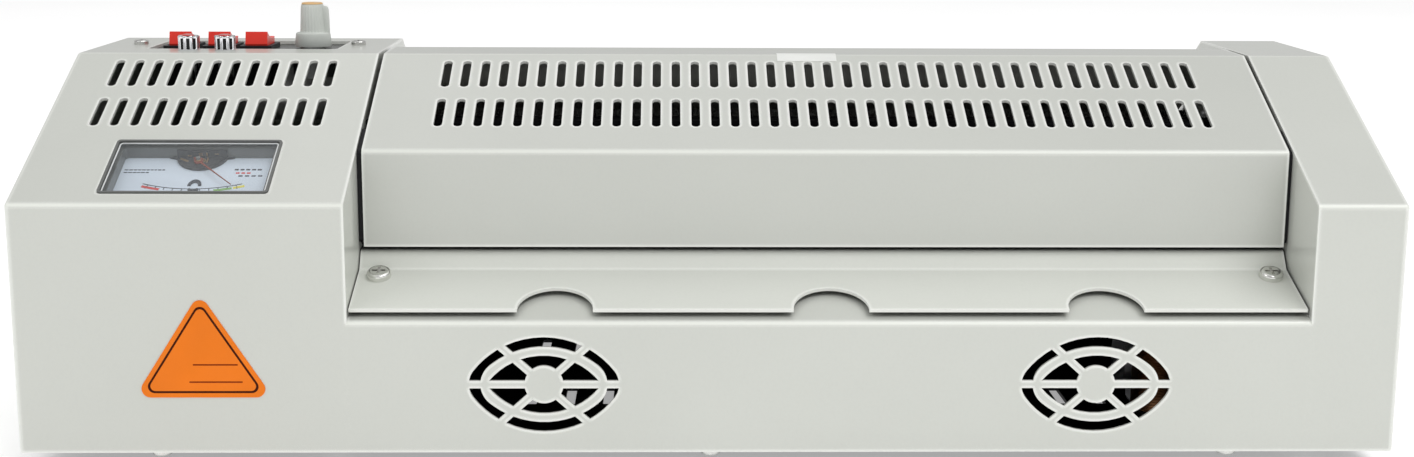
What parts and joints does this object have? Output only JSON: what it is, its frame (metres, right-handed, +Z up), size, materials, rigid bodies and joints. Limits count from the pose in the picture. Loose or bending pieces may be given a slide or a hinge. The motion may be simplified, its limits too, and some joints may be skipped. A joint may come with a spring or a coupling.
{
  "type": "pouch laminator",
  "caption": "Desktop hot pouch laminator in folded sheet metal: sloping feed tray, slotted cover between two cheeks, meter, rocker switches and a knob.",
  "frame": {"origin": "centre of the footprint on the table the feet stand on", "axes": "+Z up, +X to the right of somebody feeding a pouch, +Y away from them towards the exit"},
  "size_m": [0.5, 0.24, 0.1614],
  "materials": {
    "shell_paint": "satin light grey enamel with a fine texture",
    "plain_steel": "zinc-plated sheet",
    "shaft_steel": "ground steel",
    "screw_steel": "bright zinc plate",
    "spring_steel": "oiled spring wire",
    "chrome": "polished",
    "black_rubber": "matte",
    "silicone": "satin silicone",
    "aluminium": "extruded",
    "bronze": "sintered",
    "copper": "enamelled copper wire",
    "lamination": "stacked laminations",
    "black_gloss": "glossy",
    "black_matte": "fine grain",
    "red_rocker": "glossy",
    "lamp_red": "translucent lens",
    "grey_plastic": "satin",
    "gear_plastic": "moulded nylon",
    "meter_plastic": "satin",
    "dial_card": "printed card",
    "clear_pane": "clear",
    "needle_red": "thin paint",
    "board_green": "solder mask",
    "orange_label": "printed film"
  },
  "bodies": {
    "housing": {"casing": "shell_paint", "base_plate": "plain_steel", "feet": "black_rubber", "pan_screws": "screw_steel", "tray_screws": "screw_steel", "panel_screws": "screw_steel", "cover": "shell_paint", "feed_tray": "shell_paint", "exit_guide": "shell_paint", "front_bar": "plain_steel", "rear_bar": "plain_steel", "guide_plates": "plain_steel", "frame_left": "plain_steel", "frame_right": "plain_steel", "tie_rods": "shaft_steel", "bushes": "bronze", "hot_springs": "spring_steel", "pull_springs": "spring_steel", "idler_studs": "shaft_steel", "motor_gearbox": "aluminium", "motor_stator": "lamination", "motor_coil": "copper", "motor_bells": "aluminium", "heater_shoes": "aluminium", "heater_rods": "shaft_steel", "meter_case": "meter_plastic", "meter_dial": "dial_card", "meter_window": "clear_pane", "control_panel": "black_gloss", "switch_bodies": "black_matte", "lamp_bezels": "chrome", "lamp_lenses": "lamp_red", "potentiometer": "plain_steel", "control_board": "board_green", "board_posts": "gear_plastic", "power_inlet": "black_matte", "front_label": "orange_label"},
    "hot_lower_roller": {"hot_lower_core": "shaft_steel", "hot_lower_sleeve": "silicone", "hot_lower_gear": "gear_plastic"},
    "hot_upper_roller": {"hot_upper_core": "shaft_steel", "hot_upper_sleeve": "silicone", "hot_upper_gear": "gear_plastic"},
    "pull_lower_roller": {"pull_lower_core": "shaft_steel", "pull_lower_sleeve": "silicone", "pull_lower_gear": "gear_plastic"},
    "pull_upper_roller": {"pull_upper_core": "shaft_steel", "pull_upper_sleeve": "silicone", "pull_upper_gear": "gear_plastic"},
    "hot_carriage": {"hot_blocks": "bronze"},
    "pull_carriage": {"pull_blocks": "bronze"},
    "pair_gear": {"pair_idler": "gear_plastic"},
    "drive_gear": {"drive_idler": "gear_plastic"},
    "output_shaft": {"drive_pinion": "shaft_steel"},
    "needle": {"meter_needle": "needle_red"},
    "knob_and_shaft": {"knob": "grey_plastic", "knob_shaft": "shaft_steel"},
    "rocker_left": {"rocker_1": "red_rocker"},
    "rocker_middle": {"rocker_2": "red_rocker"},
    "rocker_right": {"rocker_3": "red_rocker"}
  },
  "joints": [
    {"name": "hot_lower_spin", "type": "hinge", "parent": "housing", "child": "hot_lower_roller", "pos_m": [0.2, -0.0447, 0.064], "axis": [1, 0, 0], "continuous": true},
    {"name": "hot_upper_float", "type": "slide", "parent": "housing", "child": "hot_carriage", "axis": [0, 0, 1], "range_m": [0, 0.001], "stiffness_N_per_m": 6000, "springref_m": -0.006, "deforming": ["hot_springs"]},
    {"name": "pull_upper_float", "type": "slide", "parent": "housing", "child": "pull_carriage", "axis": [0, 0, 1], "range_m": [0, 0.001], "stiffness_N_per_m": 6000, "springref_m": -0.006, "deforming": ["pull_springs"]},
    {"name": "hot_upper_spin", "type": "hinge", "parent": "hot_carriage", "child": "hot_upper_roller", "pos_m": [0.2, -0.0447, 0.092], "axis": [1, 0, 0], "continuous": true},
    {"name": "pull_lower_spin", "type": "hinge", "parent": "housing", "child": "pull_lower_roller", "pos_m": [0.2, 0.0053, 0.064], "axis": [1, 0, 0], "continuous": true},
    {"name": "pull_upper_spin", "type": "hinge", "parent": "pull_carriage", "child": "pull_upper_roller", "pos_m": [0.2, 0.0053, 0.092], "axis": [1, 0, 0], "continuous": true},
    {"name": "pair_gear_spin", "type": "hinge", "parent": "housing", "child": "pair_gear", "pos_m": [0.2, -0.0197, 0.064], "axis": [1, 0, 0], "continuous": true},
    {"name": "drive_gear_spin", "type": "hinge", "parent": "housing", "child": "drive_gear", "pos_m": [0.2, -0.06316, 0.03786], "axis": [1, 0, 0], "continuous": true},
    {"name": "output_shaft_spin", "type": "hinge", "parent": "housing", "child": "output_shaft", "pos_m": [0.2, -0.0887, 0.033], "axis": [1, 0, 0], "continuous": true},
    {"name": "needle_swing", "type": "hinge", "parent": "housing", "child": "needle", "pos_m": [-0.1887, -0.08939, 0.11369], "axis": [0, -0.4313, 0.9022], "range_deg": [-88, 0], "stiffness_Nm_per_rad": 0.00002, "springref_deg": 20.05},
    {"name": "knob_turn", "type": "hinge", "parent": "housing", "child": "knob_and_shaft", "pos_m": [-0.1634, 0.0103, 0.14385], "axis": [0, 0, 1], "range_deg": [-60, 240]},
    {"name": "rocker_left_tilt", "type": "hinge", "parent": "housing", "child": "rocker_left", "pos_m": [-0.2168, 0.0103, 0.14315], "axis": [1, 0, 0], "range_deg": [0, 24]},
    {"name": "rocker_middle_tilt", "type": "hinge", "parent": "housing", "child": "rocker_middle", "pos_m": [-0.2008, 0.0103, 0.14315], "axis": [1, 0, 0], "range_deg": [0, 24]},
    {"name": "rocker_right_tilt", "type": "hinge", "parent": "housing", "child": "rocker_right", "pos_m": [-0.1856, 0.0103, 0.14315], "axis": [1, 0, 0], "range_deg": [0, 24]}
  ],
  "couplings": [
    {"joint": "hot_upper_spin", "follows": "hot_lower_spin", "ratio": -1},
    {"joint": "pull_lower_spin", "follows": "hot_lower_spin", "ratio": 1},
    {"joint": "pull_upper_spin", "follows": "hot_lower_spin", "ratio": -1},
    {"joint": "pair_gear_spin", "follows": "hot_lower_spin", "ratio": -1.2727},
    {"joint": "drive_gear_spin", "follows": "hot_lower_spin", "ratio": -0.77778},
    {"joint": "output_shaft_spin", "follows": "hot_lower_spin", "ratio": 1.75}
  ]
}
